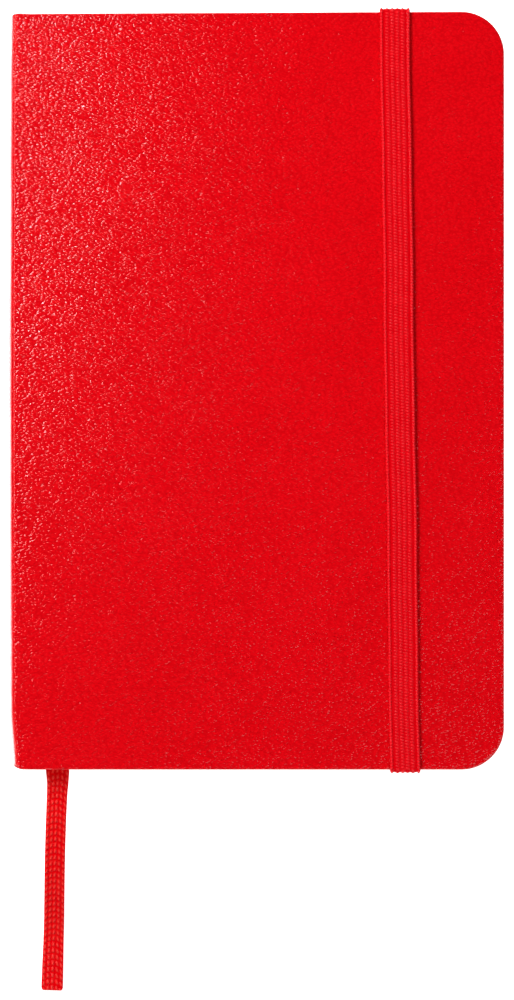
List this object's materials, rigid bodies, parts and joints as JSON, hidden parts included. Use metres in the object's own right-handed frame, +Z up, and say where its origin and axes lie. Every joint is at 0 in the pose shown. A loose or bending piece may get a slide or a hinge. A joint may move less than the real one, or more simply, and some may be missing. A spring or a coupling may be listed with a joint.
{
  "type": "pocket notebook",
  "caption": "Soft-cover pocket notebook with sewn page block, elastic closure band, ribbon marker and expandable rear pocket.",
  "frame": {"origin": "middle of the back cover's outer face, on the surface the book lies on", "axes": "+X from the spine to the fore-edge, +Y to the head, +Z up out of the front cover"},
  "size_m": [0.0914, 0.1824, 0.013],
  "materials": {
    "leatherette": "fine pebbled grain, satin",
    "board": "matt",
    "endpaper": "matt",
    "pages": "matt",
    "lining": "matt",
    "mull": "open gauze",
    "pocket_card": "matt",
    "pocket_cloth": "fine plain weave",
    "elastic": "woven",
    "ribbon": "flat braid"
  },
  "bodies": {
    "back_cover": {"back_cover_skin": "leatherette", "back_cover_board": "board", "back_pastedown": "endpaper", "pocket_gusset_head": "pocket_cloth", "pocket_gusset_tail": "pocket_cloth", "pocket_hinge_strip": "pocket_cloth"},
    "elastic": {"elastic_band": "elastic"},
    "pocket": {"pocket_panel": "pocket_card"},
    "rear_pages": {"back_flyleaf": "endpaper", "signature_07": "pages", "signature_08": "pages", "signature_09": "pages", "signature_10": "pages", "signature_11": "pages", "signature_12": "pages", "spine_skin_rear": "leatherette", "spine_lining_rear": "lining", "spine_mull_rear": "mull"},
    "middle_leaf": {"middle_leaf": "pages"},
    "front_pages": {"signature_01": "pages", "signature_02": "pages", "signature_03": "pages", "signature_04": "pages", "signature_05": "pages", "signature_06": "pages", "spine_skin_front": "leatherette", "spine_lining_front": "lining", "spine_mull_front": "mull"},
    "front_flyleaf": {"front_flyleaf": "endpaper"},
    "front_cover": {"front_cover_skin": "leatherette", "front_cover_board": "board", "front_pastedown": "endpaper"},
    "ribbon": {"ribbon_marker": "ribbon"},
    "ribbon_tail": {"ribbon_tail": "ribbon"}
  },
  "joints": [
    {"name": "elastic_slip", "type": "slide", "parent": "back_cover", "child": "elastic", "axis": [1, 0, 0], "range_m": [0, 0.024], "stiffness_N_per_m": 60, "deforming": ["elastic_band"]},
    {"name": "rear_open", "type": "hinge", "parent": "back_cover", "child": "rear_pages", "pos_m": [-0.04575, 0, 0.00175], "axis": [0, -1, 0], "range_deg": [0, 97]},
    {"name": "pocket_open", "type": "hinge", "parent": "back_cover", "child": "pocket", "pos_m": [0.04285, 0, 0.00147], "axis": [0, 1, 0], "range_deg": [0, 12], "deforming": ["pocket_gusset_head", "pocket_gusset_tail"]},
    {"name": "mid_open", "type": "hinge", "parent": "rear_pages", "child": "front_pages", "pos_m": [-0.0458, 0, 0.00635], "axis": [0, 1, 0], "range_deg": [-180, 0]},
    {"name": "middle_leaf_lift", "type": "hinge", "parent": "rear_pages", "child": "middle_leaf", "pos_m": [-0.0443, 0, 0.00684], "axis": [0, 1, 0], "range_deg": [-22, 0]},
    {"name": "front_cover_open", "type": "hinge", "parent": "front_pages", "child": "front_cover", "pos_m": [-0.0447, 0, 0.01263], "axis": [0, 1, 0], "range_deg": [-180, 0]},
    {"name": "front_flyleaf_lift", "type": "hinge", "parent": "front_pages", "child": "front_flyleaf", "pos_m": [-0.0443, 0, 0.01089], "axis": [0, 1, 0], "range_deg": [-12, 0]},
    {"name": "ribbon_swing", "type": "hinge", "parent": "rear_pages", "child": "ribbon", "pos_m": [-0.04165, 0.067, 0.0066], "axis": [0, 0, 1], "range_deg": [-1.5, 8]},
    {"name": "ribbon_tail_swing", "type": "hinge", "parent": "ribbon", "child": "ribbon_tail", "pos_m": [-0.03698, -0.072, 0.00661], "axis": [0, 0, 1], "range_deg": [-20, 25], "deforming": ["ribbon_tail"]}
  ],
  "couplings": [
    {"joint": "elastic_slip", "follows": "rear_open", "m_per_rad": 0.0141},
    {"joint": "pocket_open", "follows": "rear_open", "ratio": 0.12},
    {"joint": "middle_leaf_lift", "follows": "mid_open", "ratio": 0.12},
    {"joint": "front_flyleaf_lift", "follows": "front_cover_open", "ratio": 0.06}
  ]
}
